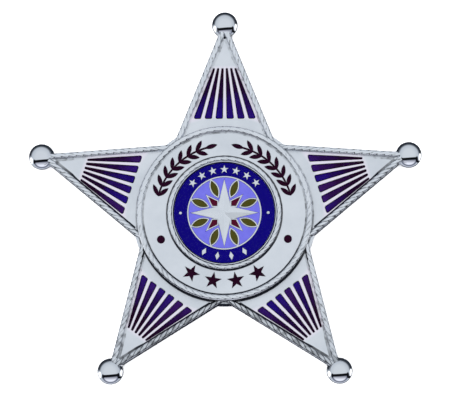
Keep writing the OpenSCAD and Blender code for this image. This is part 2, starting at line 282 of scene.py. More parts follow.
enamels = {
    "rays": {"violet": (0.0165, 0.0030, 0.050), "blue": (0.0045, 0.0010, 0.084),
             "outer": (0.0045, 0.0, 0.0028), "rim": (0.0018, 0.0, 0.006),
             "start": 18.8, "stop": 28.7, "clouds": 420,
             "wander": 9,  # mm that the clouds move the fade
             "fade": ((0.0, 0.0), (0.3, 0.42), (0.62, 0.88), (1.0, 1.0))},
    "dark": {"tint": (0.0035, 0.0, 0.0020), "cloud": (0.0105, 0.0006, 0.0075)},
    "blue": {"tint": (0.0008, 0.0001, 0.063), "cloud": (0.0022, 0.0004, 0.092)},
    "sky": {"tint": (0.066, 0.064, 0.32), "cloud": (0.098, 0.095, 0.38)},
    "maroon": {"tint": (0.027, 0.0008, 0.006), "cloud": (0.040, 0.002, 0.011)},
    "olive": {"tint": (0.024, 0.0225, 0.003), "cloud": (0.036, 0.034, 0.006)},
    "clouds": 900,
    "rimDark": 0.45,  # a rim's colour, as a part of the tint
    "rimShare": 0.7,
    "gloss": 0.16,
    "coat": 0.03,
    "ripple": 1400,
    "bump": 0.2,
}


def glaze(tree, shader, coords):
    shader.inputs["Roughness"].default_value = enamels["gloss"]
    shader.inputs["Specular IOR Level"].default_value = enamels["coat"]
    addBump(tree, shader, noise(tree, coords, enamels["ripple"], 2), enamels["bump"])


def enamel(name, colours):
    material, tree, shader, coords = newMaterial(name)
    base = mixColour(tree, noise(tree, coords, enamels["clouds"], 4), colours["tint"], colours["cloud"])
    dark = tuple(enamels["rimDark"] * part for part in colours["tint"])
    rim = calc(tree, "MULTIPLY", attribute(tree, "rim"), enamels["rimShare"])
    feed(tree, mixColour(tree, rim, base, dark), shader.inputs["Base Color"])
    glaze(tree, shader, coords)
    return material


def rayEnamel(name, colours):
    # violet or blue at the wide end, dark maroon at the narrow one
    material, tree, shader, coords = newMaterial(name)
    cloud = calc(tree, "SUBTRACT", noise(tree, coords, colours["clouds"], 3), 0.5)
    reach = calc(tree, "ADD", reachOf(tree, coords), calc(tree, "MULTIPLY", cloud, colours["wander"] * mm))
    fade = ramp(tree, remap(tree, reach, colours["start"] * mm, colours["stop"] * mm), colours["fade"])
    inner = mixColour(tree, attribute(tree, "tone"), colours["violet"], colours["blue"])
    along = mixColour(tree, fade, inner, colours["outer"])
    feed(tree, mixColour(tree, attribute(tree, "rim"), along, colours["rim"]), shader.inputs["Base Color"])
    glaze(tree, shader, coords)
    return material


satinSilver = silver("satinSilver", finishes["satin"])
brightSilver = silver("brightSilver", finishes["bright"])
mirrorSilver = silver("mirrorSilver", finishes["mirror"])
pinSteel = silver("pinSteel", finishes["steel"])
rayBlue = rayEnamel("rayBlue", enamels["rays"])
panelMaroon = enamel("panelMaroon", enamels["dark"])
ringBlue = enamel("ringBlue", enamels["blue"])
skyBlue = enamel("skyBlue", enamels["sky"])
pointMaroon = enamel("pointMaroon", enamels["maroon"])
leafOlive = enamel("leafOlive", enamels["olive"])
print("materials made")

limits = {
    "merge": 1e-4,  # mm within which a piece's points become one
    "mergeCad": 2e-4,  # and those of a CAD node
    "height": 2e-3,  # mm by which a CAD face may miss the height asked for
    "upward": 0.99,  # least Z of an upward face's normal
    "level": 0.99995,  # least Z of a level face's normal
    "straight": 1e-5,  # bend under which a side is straight
    "sharp": 0.4,  # keeps a sharp corner from shooting out when an outline grows
    "flat": 1e-6,  # mm within which a flat face's points become one
    "smooth": 35,  # degrees up to which an edge is shaded smooth
}
cornerSteps = 3
bevelMiddle = 0.3  # where the middle line of a small bevel lies, as a part of its width


def finishPiece(bm, name, material, smooth=limits["smooth"]):
    # a shape in mm becomes an object in metres
    bmesh.ops.remove_doubles(bm, verts=bm.verts, dist=limits["merge"])
    bmesh.ops.recalc_face_normals(bm, faces=bm.faces)
    bmesh.ops.scale(bm, vec=(mm,) * 3, verts=bm.verts)
    mesh = bpy.data.meshes.new(name)
    bm.to_mesh(mesh)
    bm.free()
    if smooth:
        mesh.shade_smooth()
        mesh.set_sharp_from_angle(angle=math.radians(smooth))
    for face in mesh.polygons:
        if abs(face.normal.z) > limits["level"]:  # level faces stay flat beside their soft edges
            face.use_smooth = False
    mesh.materials.append(material)
    return addObject(name, mesh)


def newShape():
    bm = bmesh.new()
    for name in ("rim", "groove", "tone"):
        bm.verts.layers.float.new(name)
    return bm


def tag(bm, verts, name, value):
    layer = bm.verts.layers.float[name]
    for vert in verts:
        vert[layer] = value(vert.co) if callable(value) else value


def addLoops(bm, loops, grooves=()):
    # joins each closed loop of points to the next; grooves say how much patina and painted shade lies on
    # each
    rings = [[bm.verts.new(p) for p in loop] for loop in loops]
    for ring, groove in zip(rings, grooves):
        tag(bm, ring, "groove", groove)
    for a, b in zip(rings, rings[1:]):
        for i in range(len(a)):
            j = (i + 1) % len(a)
            bm.faces.new((a[i], a[j], b[j], b[i]))
    return rings


def addFlat(bm, z, outer, holes=()):
    # a level face between an outline and the holes in it
    flatPoints, outlines = [], []
    for loop in (outer, *holes):
        outlines.append(list(range(len(flatPoints), len(flatPoints) + len(loop))))
        flatPoints += [Vector((p[0], p[1])) for p in loop]
    corners, _, faces, _, _, owners = delaunay_2d_cdt(flatPoints, [], outlines, 1, limits["flat"])
    if [0] not in owners:  # an outline that touches itself where it starts has to start elsewhere
        third = len(outer) // 3
        return addFlat(bm, z, outer[third:] + outer[:third], holes)
    made = [bm.verts.new((p.x, p.y, z)) for p in corners]
    for face, owner in zip(faces, owners):
        if owner == [0]:
            bm.faces.new([made[i] for i in face])
    for vert in made:
        if not vert.link_faces:
            bm.verts.remove(vert)


def flipped(loops):
    return [loop[::-1] for loop in loops]


def circle(radius, count, z=None):
    loop = [(radius * math.cos(turn * k / count), radius * math.sin(turn * k / count)) for k in range(count)]
    return loop if z is None else [(*p, z) for p in loop]


def lathe(bm, profile, count, groove):
    # groove says how much patina and painted shade lies there, by radius, height and place
    loops = [circle(r, count, z) for r, z in profile]
    return addLoops(bm, loops, [(lambda spot, r=r, z=z: groove(r, z, spot)) for r, z in profile])


def rounded(corner, before, after, radius):
    a, b = (before - corner).normalized(), (after - corner).normalized()
    half = math.acos(max(-1, min(1, a.dot(b)))) / 2
    middle = corner + (a + b).normalized() * radius / math.sin(half)
    start = corner + a * radius / math.tan(half) - middle
    stop = corner + b * radius / math.tan(half) - middle
    sweep = math.atan2(start.x * stop.y - start.y * stop.x, start.dot(stop))
    return [middle + Matrix.Rotation(sweep * k / cornerSteps, 2) @ start for k in range(cornerSteps + 1)]


def softProfile(corners):
    # corners are (x, y, radius); a radius of 0 stays sharp
    spots = [Vector(c[:2]) for c in corners]
    outline = []
    for k, corner in enumerate(corners):
        if corner[2]:
            outline += rounded(spots[k], spots[k - 1], spots[(k + 1) % len(spots)], corner[2])
        else:
            outline.append(spots[k])
    return [(p.x, p.y) for p in outline]


def offsetLoop(loop, distance):
    # grows an anticlockwise outline by a distance, which may be a function of the point
    count, grown = len(loop), []
    for k in range(count):
        before, here, after = (Vector(loop[(k + s) % count][:2]) for s in (-1, 0, 1))
        a, b = (here - before).normalized(), (after - here).normalized()
        na, nb = Vector((a.y, -a.x)), Vector((b.y, -b.x))
        push = (na + nb) / max(limits["sharp"], 1 + na.dot(nb))
        amount = distance(here) if callable(distance) else distance
        grown.append(tuple(here + push * amount))
    return grown


def nodeShape(name):
    # a welded copy of a CAD node, in mm
    bm = bmesh.new()
    bm.from_mesh(cadNodes[name].data)
    bmesh.ops.scale(bm, vec=(1 / mm,) * 3, verts=bm.verts)
    bmesh.ops.remove_doubles(bm, verts=bm.verts, dist=limits["mergeCad"])
    bm.normal_update()
    return bm


def outlinesAt(name, z):
    # the outlines of a node's upward faces at height z, anticlockwise, and clockwise round a hole
    bm = nodeShape(name)
    flat = [f for f in bm.faces if f.normal.z > limits["upward"]
            and abs(f.calc_center_median().z - z) < limits["height"]]
    members = set(flat)
    nextVert = {}
    for face in flat:
        for loop in face.loops:
            if not any(f in members for f in loop.edge.link_faces if f is not face):
                nextVert[loop.vert] = loop.link_loop_next.vert
    outlines = []
    while nextVert:
        vert, outline = next(iter(nextVert)), []
        while vert in nextVert:
            outline.append((vert.co.x, vert.co.y))
            vert = nextVert.pop(vert)
        outlines.append(outline)
    bm.free()
    return [tidyOutline(o) for o in outlines]


def tidyOutline(outline):
    # drops points that lie on a straight side
    kept = []
    for k, here in enumerate(outline):
        before, after = Vector(outline[k - 1]), Vector(outline[(k + 1) % len(outline)])
        a, b = Vector(here) - before, after - Vector(here)
        if abs(a.x * b.y - a.y * b.x) > limits["straight"] * a.length * b.length:
            kept.append(here)
    return kept


def area(loop):
    return sum(a[0] * b[1] - a[1] * b[0] for a, b in zip(loop, loop[1:] + loop[:1])) / 2


def middleOf(outline):
    return sum(p[0] for p in outline) / len(outline), sum(p[1] for p in outline) / len(outline)


def inside(point, outline):
    x, y = point
    odd = False
    for (ax, ay), (bx, by) in zip(outline, outline[1:] + outline[:1]):
        if (ay > y) != (by > y) and x < ax + (y - ay) * (bx - ax) / (by - ay):
            odd = not odd
    return odd


def figuresAt(name, z):
    # each upward face of a node at height z: its outline, and the holes in it
    loops = outlinesAt(name, z)
    solids = [o for o in loops if area(o) > 0]
    figures = []
    for solid in solids:
        smaller = [o for o in solids if area(o) < area(solid)]
        holes = [o for o in loops if area(o) < 0 and inside(o[0], solid)
                 and not any(inside(o[0], s) for s in smaller)]
        figures.append((solid, holes))
    return figures


def plainMesh(host, name):
    # the evaluated result of a node tree as a mesh of its own
    graph = bpy.context.evaluated_depsgraph_get()
    mesh = bpy.data.meshes.new_from_object(host.evaluated_get(graph))
    mesh.name = name
    bpy.data.objects.remove(host)
    return addObject(name, mesh)


def joinPieces(name, parts):
    bm = bmesh.new()
    for part in parts:
        bm.from_mesh(part.data)
    mesh = bpy.data.meshes.new(name)
    bm.to_mesh(mesh)
    bm.free()
    mesh.materials.append(parts[0].data.materials[0])
    for part in parts:
        bpy.data.objects.remove(part)
    mesh.shade_smooth()
    return addObject(name, mesh)


def turned(loop, angle):
    c, s = math.cos(angle), math.sin(angle)
    return [(c * p[0] - s * p[1], s * p[0] + c * p[1], *p[2:]) for p in loop]


star = {
    "tip": 38.2,  # where a point's edges meet, inside its ball
    "halfAngle": 22,
    "ledge": 17.8,  # radius of the ledge in the notches
    "ledgeFoot": ((-0.15, 0), (-0.04, 0.04), (0, 0.15)),  # its soft lower edge: growth and height
    "ledgeTop": ((0, -0.12), (-0.035, -0.035), (-0.12, 0)),  # its soft upper edge, from the fields' height
    "ledgeCrease": (-0.36, -0.44),  # growth where the dark line is full, and where it ends
    "plate": 1.5,  # height of the fields
    "rim": 1.1,  # width of the raised border
    "bed": 1.95,  # height of the border under its rope
    "under": 0.2,  # how far the plate runs under the border
    "sunk": 0.1,  # how far the border runs into the plate
    "soft": 0.1,
    "softFoot": 0.15,
    "darkIn": 0.15,  # width of the patina and painted shade on the border's inner edge
    "darkOut": 0.12,  # and of the painted shadow on its outer edge
    "borderFrom": 16.4,  # radius where the border starts, under the panel's ring
    "bends": (29.3, 30.6),  # where the dark line beside it starts and ends to widen
    "pocket": 0.35,
    "pocketEdge": 0.05,
    "arcSteps": 40,
    "cornerCount": 6,  # points of an outline on each point of the star, before the ledge's arc
    "stations": (0, 0.14, 0.38, 0.5),  # places along the border, from the ledge's end to the tip's
}
halfAngle = math.radians(star["halfAngle"])


def tipAt(inset):
    return star["tip"] - inset / math.sin(halfAngle)


def crossing(inset, radius):
    # where a point's inset edge leaves a circle, with the point along X
    t, tip = math.tan(halfAngle), tipAt(inset)
    a, b, c = 1 + t * t, -2 * tip * t * t, tip * tip * t * t - radius * radius
    x = (-b + math.sqrt(b * b - 4 * a * c)) / (2 * a)
    return x, (tip - x) * t


def starOutline(inset, ledge, more=0):
    # more is how much further in it runs near the tips
    x, y = crossing(inset, ledge)
    away = math.atan2(y, x)
    bends = [(x, (tipAt(inset + add) - x) * math.tan(halfAngle)) for x, add in zip(star["bends"], (0, more))]
    tip = [(x, -y) for x, y in bends] + [(tipAt(inset + more), 0)] + bends[::-1]
    outline = []
    for p in range(points):
        axis = starTop + p * pointStep
        outline.append((ledge * math.cos(axis - away), ledge * math.sin(axis - away)))
        outline += turned(tip, axis)
        for k in range(star["arcSteps"]):
            angle = axis + away + (pointStep - 2 * away) * k / star["arcSteps"]
            outline.append((ledge * math.cos(angle), ledge * math.sin(angle)))
    return outline


def addPocket(bm, outline, z, depth, edge):
    grown = offsetLoop(outline, edge)
    addLoops(bm, [
        [(*p, z) for p in grown],
        [(*p, z - bevelMiddle * edge) for p in offsetLoop(outline, bevelMiddle * edge)],
        [(*p, z - edge) for p in outline],
        [(*p, z - depth) for p in outline],
    ])
    addFlat(bm, z - depth, outline)
    return grown


def edgePatinaAndShade(p, side):
    # painted shade: an edge that faces the foot gets more than one that faces the top
    facing = starTop + p * pointStep + side * (math.pi / 2 - halfAngle)
    mean, swing = patinaAndShade["edgeShare"]
    return clamp(mean - swing * math.sin(facing)) ** patinaAndShade["edgePower"]


panel = {
    "ring": 17.0,
    "ringWidth": 1.1,
    "ringBed": 3.35,
    "face": 3.0,
    "bezel": 11.0,
    "bezelWidth": 0.85,
    "bezelBed": 3.55,
    "seat": 2.4,
    "foot": 1.35,
    "soft": 0.10,
    "pocketEdge": 0.025,
    "plateIn": 0.2,  # how far the plate's ring runs in under the panel
    "creaseIn": 0.05,  # how far its patina and painted shade do
    "wallStep": 0.1,  # a loop of the wall, this far above its foot
    "ringClean": 0.03,  # how far under its top the ring's patina and painted shade end
    "bezelClean": 0.01,  # the same for the bezel, but for bezelDark
    "bezelDark": 0.08,  # width of the patina and painted shade on the bezel's top
    "around": 288,
}


def makeStarPlate():
    bm = newShape()
    plate, rim, ledge = star["plate"], star["rim"], star["ledge"]
    hidden = rim - star["under"]
    edges = [(hidden, grow, z) for grow, z in star["ledgeFoot"]]
    edges += [(hidden, grow, plate + z) for grow, z in star["ledgeTop"]]
    edges += [(rim + part * patinaAndShade["edge"], grow, plate)
              for part, grow in zip((patinaAndShade["full"], 1), star["ledgeCrease"])]
    loops = [[(*p, z) for p in starOutline(inset, ledge + grow, patinaAndShade["tips"] * (inset > rim))]
             for inset, grow, z in edges]
    rings = addLoops(bm, loops, [0] + (len(loops) - 2) * [notchShadow])
    perPoint = star["arcSteps"] + star["cornerCount"]
    for p in range(points):  # the patina and painted shade in the crease beside the border, on both edges of each point
        right, left = edgePatinaAndShade(p, -1), edgePatinaAndShade(p, 1)
        for ring in rings[-3:-1]:
            for k, share in enumerate((right, right, right, (right + left) / 2, left, left, left)):
                tag(bm, [ring[p * perPoint + k]], "groove", share)
    addFlat(bm, 0, loops[0])
    floors = outlinesAt("star_body", plate - star["pocket"])
    rims = [addPocket(bm, o, plate, star["pocket"], star["pocketEdge"]) for o in floors]
    around, foot = panel["around"], panel["ring"]
    crease, hub = foot + patinaAndShade["crease"], foot - panel["plateIn"]
    addFlat(bm, plate, loops[-1], [*rims, circle(crease, around)])

    # patina and painted shade round the foot of the panel's ring, stronger towards the foot, left off where
    # the ledge stays bright
    def ringCrease(r, z, spot):
        if r in (crease, hub):
            return 0
        fromNotch = math.dist((spot.x, spot.y), (0, -foot))
        return clamp((fromNotch - patinaAndShade["ledgeClear"]) / patinaAndShade["ledgeFade"]) * patinaAndShadeAt(spot)

    radii = (crease, foot + patinaAndShade["full"] * patinaAndShade["crease"], foot - panel["creaseIn"], hub)
    lathe(bm, [(r, plate) for r in radii], around, ringCrease)
    addFlat(bm, plate, circle(hub, around))
    print("plate pockets", len(floors))
    return finishPiece(bm, "starPlate", satinSilver)


def makeBorder():
    rim, bed, soft, low = star["rim"], star["bed"], star["soft"], star["plate"] - star["sunk"]
    hidden = rim - star["under"]
    profile = softProfile([
        (0, 0, star["softFoot"]), (0, bed, soft), (rim, bed, soft),
        (rim, low, 0), (hidden, low, 0), (hidden, 0, 0),
    ])
    stations = [(-1, s) for s in star["stations"]] + [(0, 1)] + [(1, s) for s in star["stations"][::-1]]
    bm = newShape()
    for p in range(points):
        right, left = edgePatinaAndShade(p, -1), edgePatinaAndShade(p, 1)
        loops = []
        for side, share in stations:
            loop = []
            for inset, z in profile:
                x, y = crossing(inset, star["borderFrom"])
                loop.append((x + share * (tipAt(inset) - x), side * (1 - share) * y, z))
            loops.append(turned(loop, starTop + p * pointStep))
        rings = addLoops(bm, loops)
        for ring, (side, _) in zip(rings, stations):
            for vert, (inset, z) in zip(ring, profile):
                # the inner edge gets patina and painted shade by the way it faces, the outer edge the
                # painted shadow by the lowest notch
                if inset > rim - star["darkIn"]:
                    tag(bm, [vert], "groove", (right, (right + left) / 2, left)[side + 1])
                elif inset < star["darkOut"]:
                    tag(bm, [vert], "groove", notchShadow)
        for ring in (rings[0], rings[-1]):
            bm.faces.new(ring)
    return finishPiece(bm, "starBorder", brightSilver)


starPlate = makeStarPlate()
starBorder = makeBorder()
print("plate and border made")


def newTree(name, inputs):
    tree = bpy.data.node_groups.new(name, "GeometryNodeTree")
    addSocket = tree.interface.new_socket
    addSocket("Geometry", in_out="INPUT", socket_type="NodeSocketGeometry")
    for kind, names in inputs.items():
        for socket in names:
            addSocket(socket, in_out="INPUT", socket_type="NodeSocket" + kind)
    addSocket("Geometry", in_out="OUTPUT", socket_type="NodeSocketGeometry")
    return tree, tree.nodes.new("NodeGroupInput").outputs


def endTree(tree, given, geometry):
    real = addNode(tree, "GeometryNodeRealizeInstances", Geometry=geometry)
    paint = addNode(tree, "GeometryNodeSetMaterial", Geometry=real.outputs[0], Material=given["Finish"])
    feed(tree, paint.outputs[0], tree.nodes.new("NodeGroupOutput").inputs[0])
    return tree


def runTree(host, tree, values, name):
    modifier = host.modifiers.new("shape", "NODES")
    modifier.node_group = tree
    for item in tree.interface.items_tree:
        if item.name in values:
            modifier[item.identifier] = values[item.name]
    return plainMesh(host, name)


ropes = {
    "edge": {"radius": 0.52, "height": 2.14, "flat": 0.6, "strands": 3, "pitch": 1.45, "body": 0.72,
             "start": 16.6, "stop": 36.5},
    "ring": {"radius": 0.50, "height": 3.36, "flat": 0.56, "strands": 3, "count": 72, "body": 0.80,
             "at": 16.45},
    "bezel": {"radius": 0.41, "height": 3.59, "flat": 0.62, "strands": 3, "count": 48, "body": 0.74,
              "at": 10.575},
    "profileSteps": 24,
    "stepsPerTurn": 24,
    "pathPoints": 240,
    "grooveEdge": 5.0,  # how suddenly a strand darkens towards its groove
    "facing": 1.8,  # how soon an edge that faces down has its full patina and painted shade
    "shade": 0.16,  # painted shade over the whole ropes in the lower half
    "shadeFacing": 0.16,  # what it gains where the edge faces down
    "shadeFrom": -6,
    "shadeOver": 12,
}


def ropeTree():
    # a ring of round strands is swept along a path that turns it, then pressed flat
    tree, given = newTree("twistedRope", {
        "Float": ("Radius", "Strands", "Turns", "Body", "Height", "Flat"),
        "Int": ("Steps", "Around"),
        "Material": ("Finish",),
    })
    add, find = partial(addNode, tree), partial(calc, tree)
    path = add("GeometryNodeMeshToCurve", Mesh=given["Geometry"])
    evenPath = add("GeometryNodeResampleCurve", Curve=path.outputs[0], Count=given["Steps"])
    turnsSoFar = find("MULTIPLY", add("GeometryNodeSplineParameter").outputs["Factor"], given["Turns"])
    turning = add("GeometryNodeSetCurveTilt", Curve=evenPath.outputs[0],
                  Tilt=find("MULTIPLY", turnsSoFar, turn))

    position = add("GeometryNodeInputPosition").outputs[0]
    apart = add("ShaderNodeSeparateXYZ", Vector=position)
    angle = find("ARCTAN2", apart.outputs[1], apart.outputs[0])
    halfStrand = find("DIVIDE", math.pi, given["Strands"])
    inStrand = find("PINGPONG", angle, halfStrand)
    body = given["Body"]
    offset = find("SUBTRACT", 1, body)
    across = find("MULTIPLY", offset, find("SINE", inStrand))
    ahead = find("MULTIPLY", offset, find("COSINE", inStrand))
    chord = find("SUBTRACT", find("MULTIPLY", body, body), find("MULTIPLY", across, across))
    reach = find("MULTIPLY", find("ADD", ahead, find("SQRT", chord)), given["Radius"])
    ring = add("GeometryNodeCurvePrimitiveCircle", Resolution=given["Around"], Radius=1)
    depth = find("POWER", find("DIVIDE", inStrand, halfStrand), ropes["grooveEdge"])
    grooved = add("GeometryNodeStoreNamedAttribute", Geometry=ring.outputs[0], Name="groove", Value=depth)
    strands = add("GeometryNodeSetPosition", Geometry=grooved.outputs[0],
                  Position=find("MULTIPLY", position, reach, kind="ShaderNodeVectorMath"))
    swept = add("GeometryNodeCurveToMesh", **{
        "Curve": turning.outputs[0], "Profile Curve": strands.outputs[0], "Fill Caps": True})

    # patina and painted shade between the strands, plus painted shade over the whole rope
    groove, patinaAndShadeShare, shade = (add("GeometryNodeInputNamedAttribute", Name=name).outputs[0]
                                  for name in ("groove", "patinaAndShade", "shade"))
    dark = add("GeometryNodeStoreNamedAttribute", Geometry=swept.outputs[0], Name="groove",
               Value=find("ADD", find("MULTIPLY", groove, patinaAndShadeShare), shade))
    squeeze = add("ShaderNodeCombineXYZ", X=1, Y=1, Z=given["Flat"])
    lost = find("SUBTRACT", 1, given["Flat"])
    lift = add("ShaderNodeCombineXYZ", Z=find("MULTIPLY", given["Height"], lost))
    low = add("GeometryNodeTransform", Geometry=dark.outputs[0], Scale=squeeze.outputs[0],
              Translation=lift.outputs[0])
    smooth = add("GeometryNodeSetShadeSmooth", Geometry=low.outputs[0])
    return endTree(tree, given, smooth.outputs[0])


twistedRope = ropeTree()


def layRope(name, paths, closed, kind, turns):
    # a path's points are (x, y, z, patina and painted shade between the strands, painted shade all over)
    bm = bmesh.new()
    between, allOver = (bm.verts.layers.float.new(layer) for layer in ("patinaAndShade", "shade"))
    for path in paths:
        verts = [bm.verts.new(Vector(p[:3]) * mm) for p in path]
        for vert, p in zip(verts, path):
            vert[between], vert[allOver] = p[3:]
        for a, b in zip(verts, verts[1:] + (verts[:1] if closed else [])):
            bm.edges.new((a, b))
    mesh = bpy.data.meshes.new(name)
    bm.to_mesh(mesh)
    bm.free()
    return runTree(addObject(name + "Path", mesh), twistedRope, {
        "Radius": kind["radius"] * mm,
        "Strands": float(kind["strands"]),
        "Turns": float(turns),
        "Body": kind["body"],
        "Height": kind["height"] * mm,
        "Flat": kind["flat"],
        "Steps": round(abs(turns) * ropes["stepsPerTurn"]),
        "Around": ropes["profileSteps"],
        "Finish": brightSilver,
    }, name)


def makeEdgeRopes():
    kind, middle = ropes["edge"], star["rim"] / 2
    x0, y0 = crossing(middle, kind["start"])
    x1 = kind["stop"]
    y1 = (tipAt(middle) - x1) * math.tan(halfAngle)
    turns = math.dist((x0, y0), (x1, y1)) / (kind["pitch"] * kind["strands"])
    parts = []
    for side in (-1, 1):
        paths = []
        for p in range(points):
            # patina and painted shade between the strands, stronger where the edge faces the foot; painted
            # shade over the whole rope on the lower points
            share = edgePatinaAndShade(p, side)
            strands = patinaAndShade["strands"] * max(patinaAndShade["light"], min(1, ropes["facing"] * share))
            shade = ropes["shade"] + ropes["shadeFacing"] * share
            ends = [(x1, side * y1, kind["height"]), (x0, side * y0, kind["height"])]
            path = []
            for spot in turned(ends, starTop + p * pointStep):
                low = clamp((ropes["shadeFrom"] - spot[1]) / ropes["shadeOver"])
                path.append((*spot, max(strands, notchShadow(spot)), shade * low))
            paths.append(path)
        parts.append(layRope("edgeRope", paths, False, kind, -side * turns))
    return joinPieces("edgeRopes", parts)


def makeRoundRope(name, kind):
    spots = circle(kind["at"], ropes["pathPoints"], kind["height"])
    # patina and painted shade between the strands, stronger towards the foot
    path = [(*spot, patinaAndShade["ringStrands"] * patinaAndShadeAt(spot), 0) for spot in spots]
    return layRope(name, [path], True, kind, kind["count"] / kind["strands"])


edgeRopes = makeEdgeRopes()
ringRope = makeRoundRope("ringRope", ropes["ring"])
bezelRope = makeRoundRope("bezelRope", ropes["bezel"])
print("ropes laid")


def makeRoundPanel():
    ring, bezel, face, foot, around = (panel[name] for name in ("ring", "bezel", "face", "foot", "around"))
    ringBed, bezelBed, soft = panel["ringBed"], panel["bezelBed"], panel["soft"]
    ringIn, seatRadius = ring - panel["ringWidth"], bezel - panel["bezelWidth"]
    crease = patinaAndShade["crease"]
    full, clean = patinaAndShade["full"] * crease, patinaAndShade["clean"] * crease
    outside = softProfile([
        (ring, foot, 0), (ring, foot + panel["wallStep"], 0), (ring, ringBed, soft), (ringIn, ringBed, soft),
        (ringIn, face, 0), (ringIn - full, face, 0), (ringIn - crease, face, 0),
    ])
    inner = softProfile([
        (bezel + crease, face, 0), (bezel + full, face, 0), (bezel, face, 0),
        (bezel, bezelBed, soft), (seatRadius, bezelBed, soft), (seatRadius, panel["seat"], 0),
    ])

    # patina and painted shade round the ring and the bezel, stronger towards the foot
    def ringGroove(r, z, spot):
        return 0 if r < ringIn - clean or z > ringBed - panel["ringClean"] else patinaAndShadeAt(spot)

    def bezelGroove(r, z, spot):
        if r > bezel + clean or (z > bezelBed - panel["bezelClean"] and r < bezel - panel["bezelDark"]):
            return 0
        return max(patinaAndShade["bezel"], patinaAndShadeAt(spot))

    bm = newShape()
    lathe(bm, outside, around, ringGroove)
    lathe(bm, inner, around, bezelGroove)
    addFlat(bm, panel["seat"], circle(seatRadius, around))
    addFlat(bm, foot, circle(ring, around))
    floors = outlinesAt("star_body", face - star["pocket"])
    rims = [addPocket(bm, o, face, star["pocket"], panel["pocketEdge"]) for o in floors]
    addFlat(bm, face, circle(ringIn - crease, around), [circle(bezel + crease, around), *rims])
    print("panel pockets", len(floors))
    return finishPiece(bm, "roundPanel", satinSilver)


roundPanel = makeRoundPanel()
print("panel made")

ball = {
    "reach": 37.5,
    "radius": 2.5,
    "height": 0.6,
    "neck": 1.32,
    "neckFrom": -3.1,
    "neckTaper": 0.6,  # its radius at the foot, as a part of the neck's
    "neckFlare": 0.15,  # mm over which it opens into the ball
    "neckGap": 0.04,  # radians between neck and ball
    "around": 64,
    "steps": 40,
    "smooth": 40,
}


def arrayTree():
    # copies turned round the star's axis
    tree, given = newTree("aroundCentre", {"Int": ("Count",), "Material": ("Finish",)})
    spots = addNode(tree, "GeometryNodeMeshLine", Count=given["Count"], Offset=(0, 0, 0))
    step = calc(tree, "DIVIDE", turn, given["Count"])
    index = tree.nodes.new("GeometryNodeInputIndex").outputs[0]
    turnBy = addNode(tree, "ShaderNodeCombineXYZ", Z=calc(tree, "MULTIPLY", index, step))
    copies = addNode(tree, "GeometryNodeInstanceOnPoints", Points=spots.outputs[0],
                     Instance=given["Geometry"], Rotation=turnBy.outputs[0])
    return endTree(tree, given, copies.outputs[0])


def makeTipBalls():
    radius, neck, around = ball["radius"], ball["neck"], ball["around"]
    neckAngle = math.pi - math.asin(neck / radius)
    profile = [(ball["neckFrom"], ball["neckTaper"] * neck),
               (radius * math.cos(neckAngle) - ball["neckFlare"], neck)]
    for k in range(ball["steps"]):
        a = (neckAngle - ball["neckGap"]) * (1 - k / ball["steps"])
        profile.append((radius * math.cos(a), radius * math.sin(a)))
    bm = bmesh.new()
    rings = addLoops(bm, [[(x, ball["reach"] + along, ball["height"] + z) for x, z in circle(r, around)]
                          for along, r in profile])
    top = bm.verts.new((0, ball["reach"] + radius, ball["height"]))
    for a, b in zip(rings[-1], rings[-1][1:] + rings[-1][:1]):
        bm.faces.new((a, b, top))
    bm.faces.new(rings[0])
    one = finishPiece(bm, "tipBallHost", mirrorSilver, ball["smooth"])
    return runTree(one, arrayTree(), {"Count": points, "Finish": mirrorSilver}, "tipBalls")


tipBalls = makeTipBalls()
print("balls made")

inlay = {
    "sink": 0.02,  # how far the enamel lies below the metal
    "rimDepth": 0.015,
    "rimWidth": 0.05,
    "rayRim": 0.20,
    "rayRimMost": 0.55,  # and at most this part of half the ray's width
    "rayStart": 18.8,
    "rayLength": 9.9,
    "rayHalf": (0.70, 0.19),  # half of its width at the start and at the end
    "rayBed": 0.04,  # gap over the pocket's floor
    "raySoft": (0.03, 0.05),  # width and height of its soft edge
    "rayCrown": 0.015,  # height of its middle over the edge
    "toneSeed": 5,
}


def makeRays():
    names = sorted(n for n in cadNodes if n.startswith("ray_"))
    z, bed = star["plate"] - inlay["sink"], star["plate"] - star["pocket"] + inlay["rayBed"]
    crown = z + inlay["rayCrown"]
    softWidth, softHeight = inlay["raySoft"]
    wide, narrow = inlay["rayHalf"]
    bm = newShape()
    tones = random.Random(inlay["toneSeed"])
    for name in names:
        first = len(bm.verts)
        outline = outlinesAt(name, star["plate"])[0]
        x, y = middleOf(outline)
        axis = round((math.atan2(y, x) - starTop) / pointStep) * pointStep + starTop

        def rimDepth(p):
            along = (p.x * math.cos(axis) + p.y * math.sin(axis) - inlay["rayStart"]) / inlay["rayLength"]
            return -min(inlay["rayRim"], inlay["rayRimMost"] * (wide * (1 - along) + narrow * along))

        inner = offsetLoop(outline, rimDepth)
        rings = addLoops(bm, [
            [(*p, bed) for p in outline],
            [(*p, z - softHeight) for p in outline],
            [(*p, z) for p in offsetLoop(outline, -softWidth)],
            [(*p, crown) for p in inner],
        ])
        tag(bm, rings[0] + rings[1] + rings[2], "rim", 1)
        addFlat(bm, crown, inner)
        addFlat(bm, bed, outline)
        bm.verts.ensure_lookup_table()
        tag(bm, bm.verts[first:], "tone", tones.random())
    return finishPiece(bm, "rayEnamel", rayBlue), names


